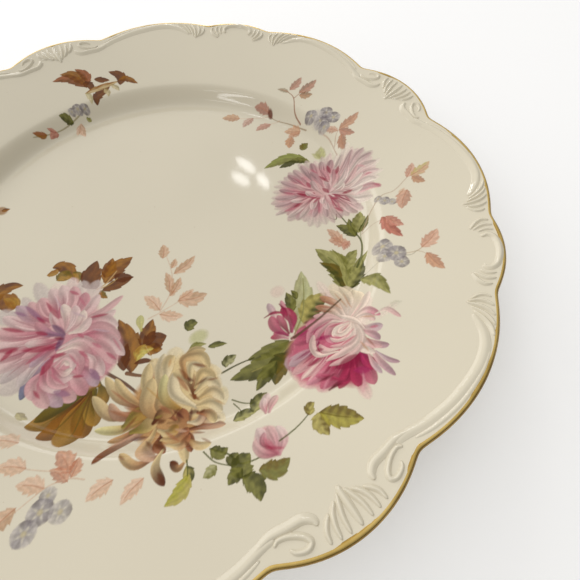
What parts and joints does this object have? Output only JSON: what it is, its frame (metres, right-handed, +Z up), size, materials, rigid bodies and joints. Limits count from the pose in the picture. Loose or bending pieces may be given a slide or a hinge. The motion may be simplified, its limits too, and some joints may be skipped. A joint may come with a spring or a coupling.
{
  "type": "porcelain serving bowl",
  "caption": "Shallow open serving bowl with a flat well, a broad sloping flange, a moulded scroll rim with a gilt edge, and chrysanthemum transfers.",
  "frame": {"origin": "centre of the foot ring's standing face, under the middle of the well", "axes": "+Z up out of the bowl; +X and +Y through the tips of two of the rim's axis lobes"},
  "size_m": [0.2636, 0.2636, 0.0282],
  "materials": {
    "porcelain_glaze": "glossy ivory glaze",
    "foot_porcelain": "glazed sides with a bare, fine-grained standing face",
    "gilding": "burnished gilding, slightly worn",
    "pink_enamel": "fired-on enamel, pink with crimson shadows",
    "tan_enamel": "fired-on enamel, cream and ochre with brown outlines",
    "magenta_enamel": "fired-on enamel, magenta with pale petals",
    "lilac_enamel": "fired-on enamel, lilac pink",
    "brown_enamel": "fired-on enamel, brown leaves",
    "green_enamel": "fired-on enamel, olive green leaves",
    "bud_enamel": "fired-on enamel, rose buds and green leaves",
    "salmon_enamel": "fired-on enamel, salmon leaves",
    "blue_enamel": "fired-on enamel, grey blue flowers"
  },
  "bodies": {
    "root": {"bowl_body": "porcelain_glaze", "foot_ring": "foot_porcelain", "gilt_edge": "gilding", "palmettes": "porcelain_glaze", "rim_curls": "porcelain_glaze", "ribbon_ridges": "porcelain_glaze", "feather_fans": "porcelain_glaze", "rim_arches": "porcelain_glaze", "arch_fronds": "porcelain_glaze", "pink_chrysanthemum": "pink_enamel", "tan_chrysanthemum": "tan_enamel", "magenta_chrysanthemum": "magenta_enamel", "lilac_chrysanthemum": "lilac_enamel", "brown_leaves": "brown_enamel", "garland_leaves": "green_enamel", "bud_spray": "bud_enamel", "inner_sprig": "salmon_enamel", "upper_sprig": "salmon_enamel", "side_sprig": "salmon_enamel", "lower_sprig": "salmon_enamel", "rim_leaf_spray": "brown_enamel", "far_spray": "salmon_enamel", "forget_me_nots": "blue_enamel"}
  },
  "joints": []
}
